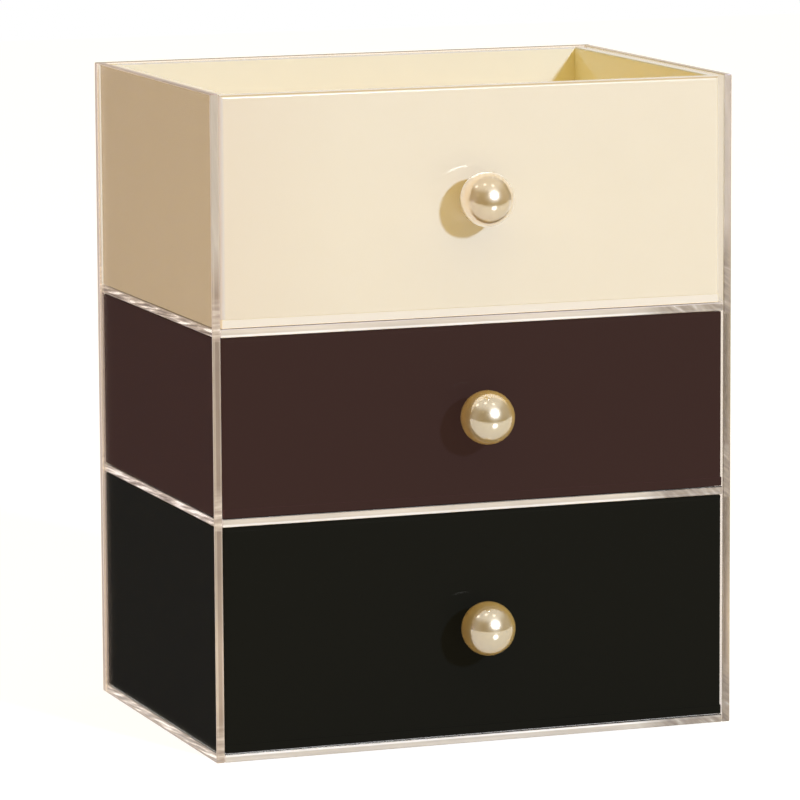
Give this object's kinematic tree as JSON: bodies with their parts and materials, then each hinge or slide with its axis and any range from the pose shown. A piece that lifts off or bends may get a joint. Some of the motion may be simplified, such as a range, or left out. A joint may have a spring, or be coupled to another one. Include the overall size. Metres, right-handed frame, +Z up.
{
  "type": "makeup organizer with drawers",
  "caption": "Clear acrylic desktop case without a lid, holding stacked coloured acrylic drawers that slide out on pearl knobs.",
  "frame": {"origin": "centre of the underside of the case, where it stands on the table", "axes": "+X to the right seen from the front, +Y from the drawer fronts to the back, +Z up; the drawers pull out towards -Y"},
  "size_m": [0.203, 0.1635, 0.2442],
  "materials": {
    "clear_acrylic": "clear polished sheet",
    "cream_acrylic": "opaque, glossy",
    "brown_acrylic": "opaque, glossy",
    "black_acrylic": "opaque, glossy",
    "pearl": "pearl lacquer",
    "collar_metal": "polished",
    "screw_steel": "zinc plated"
  },
  "bodies": {
    "case": {"case_left_side": "clear_acrylic", "case_right_side": "clear_acrylic", "case_back": "clear_acrylic", "case_bottom": "clear_acrylic", "lower_shelf": "clear_acrylic", "upper_shelf": "clear_acrylic"},
    "bottom_drawer": {"bottom_drawer_floor": "black_acrylic", "bottom_drawer_front": "black_acrylic", "bottom_drawer_left_side": "black_acrylic", "bottom_drawer_right_side": "black_acrylic", "bottom_drawer_back": "black_acrylic", "bottom_drawer_pearl_knob": "pearl", "bottom_drawer_knob_collar": "collar_metal", "bottom_drawer_knob_screw": "screw_steel"},
    "middle_drawer": {"middle_drawer_floor": "brown_acrylic", "middle_drawer_front": "brown_acrylic", "middle_drawer_left_side": "brown_acrylic", "middle_drawer_right_side": "brown_acrylic", "middle_drawer_back": "brown_acrylic", "middle_drawer_pearl_knob": "pearl", "middle_drawer_knob_collar": "collar_metal", "middle_drawer_knob_screw": "screw_steel"},
    "top_drawer": {"top_drawer_floor": "cream_acrylic", "top_drawer_front": "cream_acrylic", "top_drawer_left_side": "cream_acrylic", "top_drawer_right_side": "cream_acrylic", "top_drawer_back": "cream_acrylic", "top_drawer_pearl_knob": "pearl", "top_drawer_knob_collar": "collar_metal", "top_drawer_knob_screw": "screw_steel"}
  },
  "joints": [
    {"name": "bottom_drawer_slide", "type": "slide", "parent": "case", "child": "bottom_drawer", "axis": [0, -1, 0], "range_m": [0, 0.1]},
    {"name": "middle_drawer_slide", "type": "slide", "parent": "case", "child": "middle_drawer", "axis": [0, -1, 0], "range_m": [0, 0.1]},
    {"name": "top_drawer_slide", "type": "slide", "parent": "case", "child": "top_drawer", "axis": [0, -1, 0], "range_m": [0, 0.1]}
  ]
}
